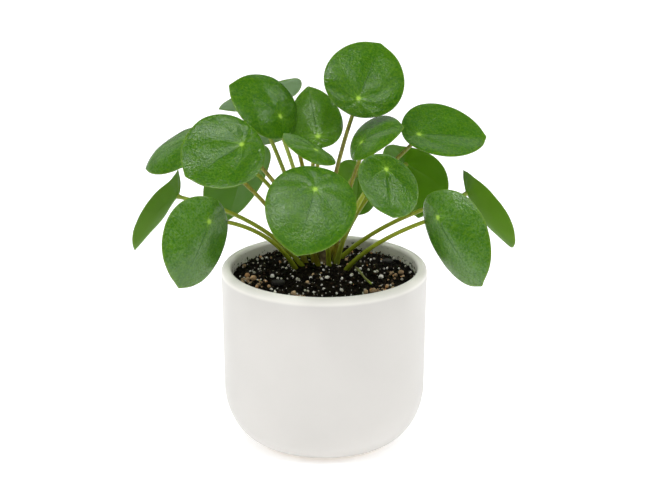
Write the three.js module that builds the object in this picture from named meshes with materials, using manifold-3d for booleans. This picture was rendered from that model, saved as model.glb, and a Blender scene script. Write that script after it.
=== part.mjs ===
// A pilea (Chinese money plant) growing in a plain round ceramic pot.
// Units are millimetres, +Z is up, and the origin is on the ground under the middle of the pot.
// The model is a THREE.Group with one named mesh for each piece: the pot, the potting soil, the short
// woody crown, one petiole (leaf stalk) and one blade for each leaf, and what lies loose on the soil.
import * as THREE from 'three';
import { mergeVertices } from 'three/addons/utils/BufferGeometryUtils.js';
import Module from 'manifold-3d';

const wasm = await Module();
wasm.setup();

// ---------------------------------------------------------------- driving dimensions
const touchGap = 0.3;          // clearance between two pieces that touch

const potHeight = 116.4;
const potRimRadius = 65.5;
const potTaper = 0.02;         // the side narrows by this much per millimetre of depth
const potWall = 6.4;
const potBellyHeight = 38;     // the rounded lower body ends here and the straight side begins
const potFootRadius = 35;      // outer edge of the foot ring
const potFootWidth = 8;
const potFootRecess = 1.6;     // the unglazed base inside the foot ring is set up by this much
const potFloorTop = 8;
const potFloorRadius = 33;     // the flat part of the inside floor
const potLipOuter = 3.8;       // rounding of the rim, outside and inside
const potLipInner = potWall - potLipOuter;
const drainRadius = 7.5;

const soilEdgeHeight = 107.4;  // where the soil meets the wall
const soilMound = 4.2;         // how much higher it is heaped round the crown
const soilMoundSpread = 30;

const crownPlace = new THREE.Vector2(0, 20);
const crownRadius = 3.6;
const crownTop = 121;
const rootDepth = 5;           // petioles and crown go down into the soil by this much

const petioleRadius = 1.5;
const petioleEndGap = 0.6;     // from the end of a petiole to the underside of its blade
const petioleSteps = 9;        // straight pieces along each petiole
const bladeThickness = 0.9;
const bladeSegments = 24;      // round the edge of a blade
const bladeRings = 6;          // from the middle of its upper side round the edge to its underside
const bladePoint = 0.035;      // how far the tip stands out of the oval, as a share of the length
const pointWidth = 0.14;       // how fast the point falls away round the edge, in radians
const bladeTaper = 0.1;        // the half toward the tip is narrower, and the base wider, by this share
const keelSoftness = 0.02;     // rounds the crease of a folded blade along its midrib

// Each leaf: the place where the petiole meets the blade (spot), its size, and the middle of its oval, along
// and across the midrib from the spot. heading is the compass direction of its tip (0 is +X, 90 is +Y), drop
// is how far the tip points below level and roll turns it about its midrib, all in degrees. dome lowers the
// edge of the blade, fold lifts its two halves about the midrib and lift raises the end nearer to the spot,
// all in millimetres. root is where the petiole leaves the soil, rise lifts its arc, and reach is how far it
// runs nearly square to the blade, in millimetres too.
const leaves = [
  { name: '01', spot: [21.5, 5, 225], length: 55, width: 51, middle: [14, 1], heading: 57, drop: -47,
    roll: 31, dome: 3, fold: 4, lift: 0, root: [-2.5, 28.5], rise: 30, reach: 10 },
  { name: '02', spot: [-27.5, 10, 212], length: 51, width: 47, middle: [12, -1], heading: 177, drop: -37,
    roll: -31, dome: 7, fold: 6, lift: 0, root: [-7, 25], rise: 30, reach: 10 },
  { name: '03', spot: [-51, -24, 203.5], length: 55, width: 57, middle: [13.5, -2], heading: -157, drop: 27,
    roll: -32, dome: -2, fold: 1, lift: 0, root: [-3.6, 13.5], rise: 25, reach: 10 },
  { name: '04', spot: [-5.5, -71, 189], length: 62, width: 55, middle: [13, 0], heading: -112, drop: 48,
    roll: -17, dome: 3, fold: 2, lift: 0, root: [3, 13], rise: 40, reach: 10 },
  { name: '05', spot: [-70, -56, 163.5], length: 62, width: 50, middle: [14, 1.5], heading: -131, drop: 55,
    roll: -80, dome: 5, fold: -6, lift: 0, root: [-18.5, 10.5], rise: 24, reach: 10 },
  { name: '06', spot: [-94.5, 16, 158], length: 62, width: 45, middle: [-15.5, -0.5], heading: 39, drop: -43,
    roll: -52, dome: -3, fold: 5, lift: 8, root: [-14.5, 15.5], rise: 22, reach: 5 },
  { name: '07', spot: [-87.5, 48, 186], length: 53, width: 40, middle: [11, 0], heading: 168, drop: 30,
    roll: -24, dome: 5, fold: 0, lift: 0, root: [-12, 20.5], rise: 25, reach: 10 },
  { name: '08', spot: [-52.5, 66, 164.5], length: 62, width: 56, middle: [14.5, 0], heading: 136, drop: 69,
    roll: 3, dome: 1, fold: 5, lift: 0, root: [-12.5, 27], rise: 25, reach: 16 },
  { name: '09', spot: [-29.5, 76, 215], length: 60, width: 50, middle: [13.5, 0], heading: 176, drop: 21,
    roll: 29, dome: 2, fold: -3, lift: 0, root: [-3, 35], rise: 25, reach: 10 },
  { name: '10', spot: [-4, 8, 199.5], length: 48, width: 34, middle: [13.5, 0], heading: 104, drop: -44,
    roll: -18, dome: 0, fold: -6, lift: 0, root: [-6.5, 31], rise: 25, reach: 8 },
  { name: '11', spot: [-5, -32, 202.5], length: 40, width: 33, middle: [4, 0.5], heading: 150, drop: -24,
    roll: 10, dome: 2, fold: -1, lift: 0, root: [-6.5, 19.5], rise: 25, reach: 8 },
  { name: '12', spot: [23, -4, 199], length: 40, width: 44, middle: [8.5, 0.5], heading: -8, drop: -29,
    roll: 16, dome: 5, fold: 5, lift: 0, root: [6.5, 24], rise: 25, reach: 8 },
  { name: '13', spot: [60, 18, 198], length: 58, width: 54, middle: [16, 2], heading: 10, drop: 6,
    roll: 22, dome: 0, fold: 4, lift: 0, root: [2.5, 27.5], rise: 25, reach: 10 },
  { name: '14', spot: [38, -52, 196], length: 48, width: 42, middle: [13, 0], heading: -85, drop: 40,
    roll: -25, dome: -4, fold: -2, lift: 0, root: [8, 19], rise: 25, reach: 10 },
  { name: '15', spot: [54.5, 64, 165], length: 56, width: 55, middle: [12.5, 1], heading: 30, drop: 74,
    roll: -19, dome: 2, fold: 10, lift: 0, root: [8.5, 34.5], rise: 25, reach: 10 },
  { name: '16', spot: [23, 74, 154.5], length: 40, width: 39, middle: [9, 0], heading: 123, drop: 84,
    roll: 78, dome: 3, fold: 1.5, lift: 0, root: [3, 34], rise: 15, reach: 10 },
  { name: '17', spot: [69, -56, 166], length: 69, width: 46, middle: [16, -0.5], heading: -45, drop: 47,
    roll: 85, dome: 5, fold: -7, lift: 0, root: [14, 7], rise: 14, reach: 16 },
  { name: '18', spot: [92, 16, 160], length: 62, width: 43, middle: [-16.5, 0], heading: 142, drop: -43,
    roll: 55, dome: -6, fold: 2, lift: 3, root: [10.5, 29], rise: 14, reach: 10 },
  { name: '19', spot: [-38, 30, 203], length: 44, width: 42, middle: [10.5, 0], heading: 100, drop: 40,
    roll: 0, dome: 3, fold: 0, lift: 0, root: [-10, 34], rise: 20, reach: 8 },
];

// What lies loose on the soil: an old petiole cut off long ago, two chips of bark, and the largest of the
// gravel stones and perlite lumps (size is the distance across, in millimetres).
const lumpTurn = 50;           // each lump is turned on from the one before by this many degrees
const oldPetioleRadius = 0.9;   // dried and shrunken
const oldPetioleRoute = [[19.5, 10], [23, 1], [26, -9], [30, -18]];
const barkChips = [
  { place: [-29, -16], length: 10.5, width: 7, thickness: 1.8, turn: 15 },
  { place: [41, 26], length: 8, width: 4.5, thickness: 1.5, turn: -35 },
];
const stones = [
  { place: [-49, -2], size: 3.6 },
  { place: [-45, -8], size: 3.8 },
  { place: [-19, -36], size: 3.6 },
  { place: [26, -33], size: 3.4 },
  { place: [31, -31], size: 3.8 },
  { place: [49, 3], size: 3.6 },
];
const perliteLumps = [
  { place: [-33, -5], size: 2.8 },
  { place: [2, -10], size: 2.6 },
  { place: [36, -6], size: 3 },
];

// ---------------------------------------------------------------- finishes
const finish = (color, roughness) => new THREE.MeshStandardMaterial({ color, roughness, metalness: 0 });
const glaze = finish(0xe6e2db, 0.45);
const soilFinish = finish(0x1b1610, 1);
const bladeFinish = finish(0x3d7a1c, 0.4);
const petioleFinish = finish(0x8a9a34, 0.5);
const barkFinish = finish(0x4a3420, 0.9);
const stoneFinish = finish(0xb98a5a, 0.85);
const perliteFinish = finish(0xe4e0d4, 0.95);

const plant = new THREE.Group();

function addPiece(name, geometry, material) {
  const piece = new THREE.Mesh(geometry, material);
  piece.name = name;
  plant.add(piece);
  return piece;
}

// ---------------------------------------------------------------- solids for cutting
function toSolid(geometry) {
  const bare = geometry.clone();
  bare.deleteAttribute('normal');
  bare.deleteAttribute('uv');
  const merged = mergeVertices(bare, 1e-4);
  const vertProperties = new Float32Array(merged.attributes.position.array);
  const triVerts = new Uint32Array(merged.index.array);
  return new wasm.Manifold(new wasm.Mesh({ numProp: 3, vertProperties, triVerts }));
}

function toGeometry(solid) {
  const mesh = solid.getMesh();
  const geometry = new THREE.BufferGeometry();
  geometry.setAttribute('position', new THREE.BufferAttribute(mesh.vertProperties, 3));
  geometry.setIndex(new THREE.BufferAttribute(mesh.triVerts, 1));
  geometry.computeVertexNormals();
  return geometry;
}

// A lathe profile is drawn as (radius, height) and turned about +Z.
function turned(profile, segments) {
  return new THREE.LatheGeometry(profile, segments).rotateX(Math.PI / 2);
}

// Points along a quarter of an ellipse, from angle start to angle end.
function arc(centre, radii, start, end, steps) {
  const points = [];
  for (let i = 0; i <= steps; i += 1) {
    const angle = start + (end - start) * (i / steps);
    const across = centre[0] + radii[0] * Math.cos(angle);
    const up = centre[1] + radii[1] * Math.sin(angle);
    points.push(new THREE.Vector2(across, up));
  }
  return points;
}

// ---------------------------------------------------------------- the pot
const quarter = Math.PI / 2;
const potSegments = 48;
const potSideRadius = potRimRadius - potTaper * (potHeight - potLipOuter - potBellyHeight);
const potInnerRim = potRimRadius - potWall;
const potInnerSide = potSideRadius - potWall;
const potInnerBelly = potBellyHeight + 4;

// The inside of the wall below the soil line, from the edge of the flat floor up to the straight side.
function innerBelly(start, end) {
  const radii = [potInnerSide - potFloorRadius, potInnerBelly - potFloorTop];
  return arc([potFloorRadius, potInnerBelly], radii, start, end, 6);
}

function potGeometry() {
  const belly = [potSideRadius - potFootRadius, potBellyHeight];
  const footInner = potFootRadius - potFootWidth;
  const outerLip = [potRimRadius - potLipOuter, potHeight - potLipOuter];
  const innerLip = [potInnerRim + potLipInner, potHeight - potLipInner];
  const profile = [
    new THREE.Vector2(drainRadius, potFootRecess),
    new THREE.Vector2(footInner - potFootRecess, potFootRecess),
    new THREE.Vector2(footInner, 0),
    ...arc([potFootRadius, potBellyHeight], belly, -quarter, 0, 9),
    ...arc(outerLip, [potLipOuter, potLipOuter], 0, quarter, 4),
    ...arc(innerLip, [potLipInner, potLipInner], quarter, 2 * quarter, 3).slice(1),
    ...innerBelly(0, -quarter),
    new THREE.Vector2(drainRadius, potFloorTop),
    new THREE.Vector2(drainRadius, potFootRecess),
  ];
  return turned(profile, potSegments);
}

addPiece('pot', potGeometry(), glaze);

// ---------------------------------------------------------------- the blades
// A blade lies in its own frame with its spot at the origin, its tip along +X and its upper side up.
// The height of the upper side over the point (x, y); it is 0 at the spot.
function bladeHeight(leaf, x, y) {
  const [middleX, middleY] = leaf.middle;
  const halfLength = leaf.length / 2;
  const halfWidth = leaf.width / 2;
  const fromMiddle = Math.hypot((x - middleX) / halfLength, (y - middleY) / halfWidth);
  const spotFromMiddle = Math.hypot(middleX / halfLength, middleY / halfWidth);
  const domed = -leaf.dome * (fromMiddle ** 2 - spotFromMiddle ** 2);
  const aside = y / halfWidth;
  const folded = leaf.fold * (Math.sqrt(aside * aside + keelSoftness) - Math.sqrt(keelSoftness));
  const behind = Math.max(0, (-x * Math.sign(middleX)) / (halfLength - Math.abs(middleX)));
  return domed + folded + leaf.lift * behind * behind;
}

// A point of the edge, in the direction angle from the middle: nearly round, with a small point at the tip.
function bladeEdge(leaf, angle) {
  const [middleX, middleY] = leaf.middle;
  const round = Math.cos(angle);
  const point = bladePoint * leaf.length;
  const fromTip = Math.abs(Math.atan2(Math.sin(angle), round));
  const tip = point * Math.exp(-fromTip / pointWidth);
  const x = middleX + (leaf.length / 2 - point) * round + tip;
  const y = middleY + (leaf.width / 2) * Math.sin(angle) * (1 - bladeTaper * round);
  return new THREE.Vector2(x, y);
}

// A sphere with its poles at the spot, drawn out to the edge and pressed to the blade's thickness.
function bladeGeometry(leaf) {
  const geometry = new THREE.SphereGeometry(1, bladeSegments, bladeRings).rotateX(quarter);
  const points = geometry.attributes.position;
  for (let i = 0; i < points.count; i += 1) {
    const away = Math.min(1, Math.hypot(points.getX(i), points.getY(i)));
    const angle = Math.atan2(points.getY(i), points.getX(i));
    const place = bladeEdge(leaf, angle).multiplyScalar(away);
    const side = Math.abs(points.getZ(i)) < 1e-6 ? 0 : points.getZ(i);
    const fromMiddle = (bladeThickness / 2) * Math.sign(side) * Math.sqrt(Math.abs(side));
    const middle = bladeHeight(leaf, place.x, place.y) - bladeThickness / 2;
    points.setXYZ(i, place.x, place.y, middle + fromMiddle);
  }
  geometry.computeVertexNormals();
  return geometry;
}

const degrees = Math.PI / 180;

function leafTurn(leaf) {
  return new THREE.Euler(leaf.roll * degrees, leaf.drop * degrees, leaf.heading * degrees, 'ZYX');
}

// ---------------------------------------------------------------- the petioles
// The soil is heaped a little round the crown.
function soilHeight(x, y) {
  const away = (x - crownPlace.x) ** 2 + (y - crownPlace.y) ** 2;
  return soilEdgeHeight + soilMound * Math.exp(-away / (2 * soilMoundSpread ** 2));
}

// A petiole runs straight through the soil, then arches to the underside of its blade.
function petiolePath(leaf, endGap, rootGap) {
  const up = new THREE.Vector3(0, 0, 1).applyEuler(leafTurn(leaf));
  const top = new THREE.Vector3(...leaf.spot).addScaledVector(up, -(bladeThickness + endGap));
  const [x, y] = leaf.root;
  const collar = new THREE.Vector3(x, y, soilHeight(x, y));
  const first = collar.clone().lerp(top, 0.35);
  first.z += leaf.rise;
  const last = top.clone().addScaledVector(up, -leaf.reach);
  const outward = first.clone().sub(collar).normalize();
  const foot = collar.clone().addScaledVector(outward, -(rootDepth + rootGap));
  const path = new THREE.CurvePath();
  path.add(new THREE.LineCurve3(foot, collar));
  path.add(new THREE.CubicBezierCurve3(collar, first, last, top));
  return path;
}

function tube(path, radius, steps) {
  const section = new THREE.Shape();
  section.absarc(0, 0, radius, 0, 2 * Math.PI);
  return new THREE.ExtrudeGeometry(section, { extrudePath: path, steps, curveSegments: 4 });
}

for (const leaf of leaves) {
  const blade = addPiece(`leaf_${leaf.name}`, bladeGeometry(leaf), bladeFinish);
  blade.position.set(...leaf.spot);
  blade.rotation.copy(leafTurn(leaf));
  const stalk = tube(petiolePath(leaf, petioleEndGap, 0), petioleRadius, petioleSteps);
  addPiece(`petiole_${leaf.name}`, stalk, petioleFinish);
}

// ---------------------------------------------------------------- the crown
// A short stem with a domed top; extra makes it wider and deeper, for the socket it stands in.
function crownGeometry(extra) {
  const bottom = soilHeight(crownPlace.x, crownPlace.y) - rootDepth - extra;
  const profile = [
    new THREE.Vector2(0, bottom),
    new THREE.Vector2(crownRadius + extra, bottom),
    new THREE.Vector2(crownRadius + extra, crownTop - 5),
    new THREE.Vector2(crownRadius * 0.75, crownTop - 2),
    new THREE.Vector2(0, crownTop),
  ];
  return turned(profile, 12).translate(crownPlace.x, crownPlace.y, 0);
}

addPiece('crown_stem', crownGeometry(0), barkFinish);

// ---------------------------------------------------------------- the potting soil
function soilGeometry() {
  const wallTop = potInnerSide + potTaper * (soilEdgeHeight - potInnerBelly);
  const wallProfile = [
    new THREE.Vector2(0, potFloorTop),
    ...innerBelly(-quarter, 0),
    new THREE.Vector2(wallTop, soilEdgeHeight - touchGap),
  ];
  const profile = wallProfile.map((p) => new THREE.Vector2(Math.max(0, p.x - touchGap), p.y + touchGap));
  for (const share of [0.85, 0.7, 0.55, 0.4, 0.25, 0.12, 0]) {
    profile.push(new THREE.Vector2((wallTop - touchGap) * share, soilEdgeHeight));
  }
  const geometry = turned(profile, potSegments);
  const points = geometry.attributes.position;
  for (let i = 0; i < points.count; i += 1) {
    const onTop = points.getZ(i) > soilEdgeHeight - 1;
    if (onTop) points.setZ(i, soilHeight(points.getX(i), points.getY(i)));
  }
  return geometry;
}

function rootedSoil() {
  let soil = toSolid(soilGeometry());
  for (const leaf of leaves) {
    const socket = tube(petiolePath(leaf, 0, touchGap), petioleRadius + touchGap, petioleSteps);
    soil = soil.subtract(toSolid(socket));
  }
  soil = soil.subtract(toSolid(crownGeometry(touchGap)));
  return toGeometry(soil);
}

addPiece('potting_soil', rootedSoil(), soilFinish);

// ---------------------------------------------------------------- what lies on the soil
// The height at which a piece clears the heaped soil, even on its uphill side.
function restingHeight(x, y, reach) {
  const towardCrown = new THREE.Vector2(crownPlace.x - x, crownPlace.y - y).setLength(reach);
  return soilHeight(x + towardCrown.x, y + towardCrown.y) + touchGap;
}

function oldPetioleGeometry() {
  const points = oldPetioleRoute.map(([x, y]) => {
    return new THREE.Vector3(x, y, soilHeight(x, y) + touchGap + oldPetioleRadius);
  });
  return tube(new THREE.CatmullRomCurve3(points), oldPetioleRadius, 8);
}

function barkChipGeometry(chip) {
  const { length, width, thickness } = chip;
  const outline = new THREE.Shape();
  outline.moveTo(-length * 0.5, -width * 0.2);
  outline.lineTo(-length * 0.2, -width * 0.5);
  outline.lineTo(length * 0.42, -width * 0.4);
  outline.lineTo(length * 0.5, width * 0.15);
  outline.lineTo(length * 0.1, width * 0.5);
  outline.lineTo(-length * 0.35, width * 0.38);
  return new THREE.ExtrudeGeometry(outline, { depth: thickness, bevelEnabled: false, steps: 1 });
}

addPiece('old_petiole', oldPetioleGeometry(), petioleFinish);

barkChips.forEach((chip, i) => {
  const piece = addPiece(`bark_chip_${i + 1}`, barkChipGeometry(chip), barkFinish);
  const [x, y] = chip.place;
  piece.position.set(x, y, restingHeight(x, y, chip.length / 2));
  piece.rotation.z = chip.turn * degrees;
});

function scatter(name, lumps, material) {
  lumps.forEach((lump, i) => {
    const piece = addPiece(`${name}_${i + 1}`, new THREE.IcosahedronGeometry(lump.size / 2, 0), material);
    const [x, y] = lump.place;
    piece.position.set(x, y, restingHeight(x, y, lump.size / 2) + lump.size / 2);
    piece.rotation.z = lumpTurn * i * degrees;
  });
}

scatter('stone', stones, stoneFinish);
scatter('perlite', perliteLumps, perliteFinish);

export default plant;
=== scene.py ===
# %% [markdown]
# # A potted pilea
# A pilea holds round, fleshy blades on long stalks (petioles) that meet the blade near its middle, at a
# pale spot. This one grows in gritty dark soil in a plain glazed pot. The solids that come with the
# frame give the place and size of every piece. This script makes the fine surfaces that stand for them:
# the rolled rim of the pot, the veins and thin margins of the blades, the grit on the soil.

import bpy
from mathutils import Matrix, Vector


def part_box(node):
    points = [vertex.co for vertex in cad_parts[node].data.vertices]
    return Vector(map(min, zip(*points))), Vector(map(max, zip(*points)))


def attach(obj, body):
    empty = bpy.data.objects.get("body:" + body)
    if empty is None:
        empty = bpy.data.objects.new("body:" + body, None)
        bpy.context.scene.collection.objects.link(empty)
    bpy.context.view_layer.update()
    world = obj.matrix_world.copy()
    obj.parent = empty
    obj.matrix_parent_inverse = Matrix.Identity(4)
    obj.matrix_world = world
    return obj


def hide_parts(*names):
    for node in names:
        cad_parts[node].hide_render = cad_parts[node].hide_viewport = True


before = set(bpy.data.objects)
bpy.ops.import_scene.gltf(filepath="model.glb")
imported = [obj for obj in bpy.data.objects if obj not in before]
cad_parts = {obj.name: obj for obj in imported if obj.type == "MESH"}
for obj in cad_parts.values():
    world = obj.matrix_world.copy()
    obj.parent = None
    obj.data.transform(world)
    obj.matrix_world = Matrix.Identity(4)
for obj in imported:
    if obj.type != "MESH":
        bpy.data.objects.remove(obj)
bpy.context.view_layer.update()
print("solids in the frame:", len(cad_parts))

# %% Tools used all through
import math
import random
from collections import namedtuple

import bmesh
import bpy
from mathutils import Euler, Matrix, Vector, noise
from mathutils.geometry import interpolate_bezier

mm = 0.001
upward = Vector((0, 0, 1))
print("one millimetre is", mm, "of Blender's units")

# %% [markdown]
# ## The camera
# The camera looks down on the rim of the pot by a little under twenty degrees. It stands far enough away
# that the plant keeps its proportions, so the lens is a long one. A nearer camera with a shorter lens
# would show the same width, but it would swell the front leaves.

# %% Camera
rim_top = 116.4                         # the height of the pot, in millimetres
looking_down = math.radians(18.8)
viewing_distance = 1.70
framing_tilt = math.radians(0.484)      # the rim is a little below the middle of the view
framing_pan = math.radians(-0.017)      # and a hair to one side of it

camera_data = bpy.data.cameras.new("camera")
camera_data.sensor_width = 36
camera_data.lens = 148
camera = bpy.data.objects.new("camera", camera_data)
camera.location = (0, -viewing_distance * math.cos(looking_down),
                   rim_top * mm + viewing_distance * math.sin(looking_down))
camera.rotation_euler = (math.radians(90) - looking_down + framing_tilt, 0, framing_pan)
bpy.context.collection.objects.link(camera)
bpy.context.scene.camera = camera
bpy.context.scene.view_settings.view_transform = "Standard"
print("camera stands at", tuple(round(c, 3) for c in camera.location))

# %% [markdown]
# ## The lights
# Wax mirrors what it faces, so two kinds of light are kept apart. Small bright softboxes show in the
# blades as patches of gloss, and their places matter more than their power. Large panels light the plant
# evenly and are hidden from reflections, because a broad light mirrored in the wax would lay a grey veil
# over the deep greens. Only the dim panel behind is mirrored, and it edges the far rims. The surround is
# kept weak to keep the veil off too.

# %% Soft lights and the surround
plant_middle = Vector((0, 0, 160 * mm))


def softbox(name, azimuth, elevation, distance, width, height, brightness, mirrored=True):
    """A glowing rectangle that faces the plant. Azimuth 0 is the camera's side and 90 the plant's right."""
    a, e = math.radians(azimuth), math.radians(elevation)
    away = Vector((math.sin(a) * math.cos(e), -math.cos(a) * math.cos(e), math.sin(e)))
    lamp = bpy.data.lights.new(name, "AREA")
    lamp.shape = "RECTANGLE"
    lamp.size, lamp.size_y = width, height
    lamp.energy = brightness * width * height * math.pi
    box = bpy.data.objects.new(name, lamp)
    box.location = plant_middle + away * distance
    box.rotation_euler = away.to_track_quat("Z", "Y").to_euler()
    box.visible_camera = False
    box.visible_glossy = mirrored
    bpy.context.collection.objects.link(box)


# Azimuth, elevation, distance, width, height and brightness. The first three are the patches of gloss.
softbox("key_softbox", -38, 60, 1.5, 0.27, 0.27, 20)
softbox("top_softbox", 8, 58, 1.5, 0.22, 0.22, 13)
softbox("side_softbox", 108, 42, 1.5, 0.24, 0.24, 12)
softbox("left_panel", -68, 26, 1.5, 0.70, 0.70, 4.6, mirrored=False)
softbox("right_panel", 66, 26, 1.5, 0.70, 0.70, 4.4, mirrored=False)
softbox("back_panel", -165, 28, 2.0, 2.6, 1.6, 0.6)
softbox("left_fill", -44, 44, 1.7, 0.70, 0.70, 2.1, mirrored=False)
softbox("right_fill", 44, 44, 1.7, 0.70, 0.70, 2.1, mirrored=False)

overhead = bpy.data.lights.new("overhead", "SUN")
overhead.energy = 1.7
overhead.angle = math.radians(60)
overhead_object = bpy.data.objects.new("overhead", overhead)
overhead_object.rotation_euler = (math.radians(-6), 0, 0)
overhead_object.visible_glossy = False
bpy.context.collection.objects.link(overhead_object)

surround = bpy.data.worlds.new("surround")
surround.use_nodes = True
surround.node_tree.nodes["Background"].inputs["Color"].default_value = (1, 1, 1, 1)
surround.node_tree.nodes["Background"].inputs["Strength"].default_value = 0.04
bpy.context.scene.world = surround

# %% [markdown]
# ## A small kit for finishes
# Every finish is a Principled shader with a few texture nodes in front of it. They could be joined by
# hand in the shader editor, but here small helpers save typing. Most add one node and return what comes
# out of it, so that a finish reads from its first texture to its last colour.

# %% Finish helpers
def finish_named(name):
    """A new material; returns it with its node tree and its Principled shader."""
    finish = bpy.data.materials.new(name)
    finish.use_nodes = True
    return finish, finish.node_tree, finish.node_tree.nodes["Principled BSDF"]


def plug(tree, value, socket):
    """Joins value to the socket: a link for another node's output, a plain setting for anything else."""
    if isinstance(value, bpy.types.NodeSocket):
        tree.links.new(value, socket)
    elif value is not None:
        socket.default_value = value


def math_node(tree, operation, a, b=None, c=None, clamp=False):
    node = tree.nodes.new("ShaderNodeMath")
    node.operation = operation
    node.use_clamp = clamp
    for value, socket in zip((a, b, c), node.inputs):
        plug(tree, value, socket)
    return node.outputs[0]


def noise_node(tree, where, scale, detail=2.0, roughness=0.5, distortion=0.0):
    node = tree.nodes.new("ShaderNodeTexNoise")
    plug(tree, where, node.inputs["Vector"])
    node.inputs["Scale"].default_value = scale
    node.inputs["Detail"].default_value = detail
    node.inputs["Roughness"].default_value = roughness
    node.inputs["Distortion"].default_value = distortion
    return node.outputs["Fac"]


def cells_node(tree, where, scale):
    """How far each point is from the nearest of many scattered ones."""
    node = tree.nodes.new("ShaderNodeTexVoronoi")
    plug(tree, where, node.inputs["Vector"])
    node.inputs["Scale"].default_value = scale
    return node.outputs["Distance"]


def ramp_node(tree, value, *stops):
    """A colour ramp; each stop is (position, colour), where a colour is a number or three of them."""
    node = tree.nodes.new("ShaderNodeValToRGB")
    while len(node.color_ramp.elements) < len(stops):
        node.color_ramp.elements.new(1)
    for element, (position, colour) in zip(node.color_ramp.elements, stops):
        element.position = position
        element.color = (*colour, 1) if isinstance(colour, tuple) else (colour, colour, colour, 1)
    plug(tree, value, node.inputs["Fac"])
    return node.outputs["Color"]


def mix_node(tree, share, a, b, blend="MIX"):
    node = tree.nodes.new("ShaderNodeMix")
    node.data_type = "RGBA"
    node.blend_type = blend
    plug(tree, share, node.inputs["Factor"])
    for value, socket in ((a, node.inputs[6]), (b, node.inputs[7])):
        plug(tree, (*value, 1) if isinstance(value, tuple) else value, socket)
    return node.outputs[2]


def tinted(tree, base, mask, strength, colour):
    """The base with the colour over it where the mask is white, no stronger than the given strength."""
    return mix_node(tree, math_node(tree, "MULTIPLY", mask, strength), base, colour)


def bump_node(tree, height, depth, strength=1.0, under=None):
    """A bump that stands for relief of the given depth in metres; under is a coarser bump below it."""
    node = tree.nodes.new("ShaderNodeBump")
    node.inputs["Strength"].default_value = strength
    node.inputs["Distance"].default_value = depth
    plug(tree, height, node.inputs["Height"])
    plug(tree, under, node.inputs["Normal"])
    return node.outputs["Normal"]


def place_of(tree):
    """Object coordinates: metres in the plant's own frame."""
    return tree.nodes.new("ShaderNodeTexCoord").outputs["Object"]


def number_of(tree, name):
    """A number kept on the piece's own points."""
    node = tree.nodes.new("ShaderNodeAttribute")
    node.attribute_name = name
    return node.outputs["Fac"]


def split_node(tree, vector):
    node = tree.nodes.new("ShaderNodeSeparateXYZ")
    plug(tree, vector, node.inputs[0])
    return node.outputs["X"], node.outputs["Y"], node.outputs["Z"]


print("finish helpers: plug, nodes for sums, noise, cells, ramps, mixes and bumps, and tinted")

# %% [markdown]
# ## From a bmesh to a piece
# A finished piece stays at the origin with its place in its mesh, rides on the plant, takes its finishes
# and hides the solids that it stands for. Round things are turned from one row of points, as on a
# potter's wheel. A cylinder could be cut and bevelled instead, but a row shows the whole shape at once.

# %% Finishing a piece
def finished(bm, name, finishes, slot, *nodes, rounding=0):
    """Makes the object, smooth-shaded, and joins it to the frame."""
    mesh = bpy.data.meshes.new(name)
    bm.to_mesh(mesh)
    bm.free()
    mesh.shade_smooth()
    for finish in finishes:
        mesh.materials.append(finish)
    piece = bpy.data.objects.new(name, mesh)
    bpy.context.collection.objects.link(piece)
    if rounding:
        smooth = piece.modifiers.new("rounding", "SUBSURF")
        smooth.levels = smooth.render_levels = rounding
    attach(piece, "root")
    if nodes:
        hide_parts(*nodes)
    return piece


def turned(bm, points, steps):
    """Spins a closed or open row of (radius, height) points, in millimetres, about the pot's axis."""
    row = [bm.verts.new((radius * mm, 0, height * mm)) for radius, height in points]
    edges = [bm.edges.new(pair) for pair in zip(row, row[1:])]
    bmesh.ops.spin(bm, geom=row + edges, cent=(0, 0, 0), axis=(0, 0, 1), angle=math.tau, steps=steps,
                   use_merge=True, use_duplicate=False)
    bmesh.ops.remove_doubles(bm, verts=bm.verts, dist=1e-6)
    bmesh.ops.recalc_face_normals(bm, faces=bm.faces)


def quarter_arc(centre, radii, start, end, steps):
    """Points of a quarter ellipse from angle start to angle end, in degrees."""
    turns = [math.radians(start + (end - start) * i / steps) for i in range(steps + 1)]
    return [(centre[0] + radii[0] * math.cos(t), centre[1] + radii[1] * math.sin(t)) for t in turns]


print("shape helpers: finished, turned and quarter_arc")

# %% [markdown]
# ## The pot's glaze
# An off-white satin glaze is never quite even: it clouds a little, it ripples, it breaks paler over the
# lip, and the potter wipes it off the foot so that the pot doesn't stick to the kiln shelf. The lip and
# the wall inside are also painted paler, as painted light against the shade that falls on them. One flat
# colour would look like plastic. Each of these marks is a weak layer over the one before, placed by its
# height on the pot, so no painted map is needed.

# %% The glaze
soil_edge_height = 107.4       # where the soil meets the wall, in millimetres
pot_glaze, tree, shader = finish_named("pot_glaze")
where = place_of(tree)
pot_x, pot_y, pot_z = split_node(tree, where)
cloud = noise_node(tree, where, 22, 3)
glaze_colour = ramp_node(tree, cloud, (0.3, (0.615, 0.598, 0.572)), (0.7, (0.640, 0.620, 0.594)))
# Fine iron specks, one here and there.
speck = ramp_node(tree, cells_node(tree, where, 240), (0.035, 1.0), (0.06, 0.0))
rare = ramp_node(tree, noise_node(tree, where, 60, 1), (0.6, 0.0), (0.66, 1.0))
speck = math_node(tree, "MULTIPLY", speck, rare)
glaze_colour = tinted(tree, glaze_colour, speck, 0.35, (0.42, 0.36, 0.27))
# The inside is all that lies near enough to the axis and high enough; the soil hides what is lower.
inside_reach, hidden_height = 60.2, 90
radius = math_node(tree, "SQRT", math_node(tree, "ADD", math_node(tree, "MULTIPLY", pot_x, pot_x),
                                           math_node(tree, "MULTIPLY", pot_y, pot_y)))
inside = math_node(tree, "LESS_THAN", radius, inside_reach * mm)
inside = math_node(tree, "MULTIPLY", inside, math_node(tree, "GREATER_THAN", pot_z, hidden_height * mm))
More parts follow.
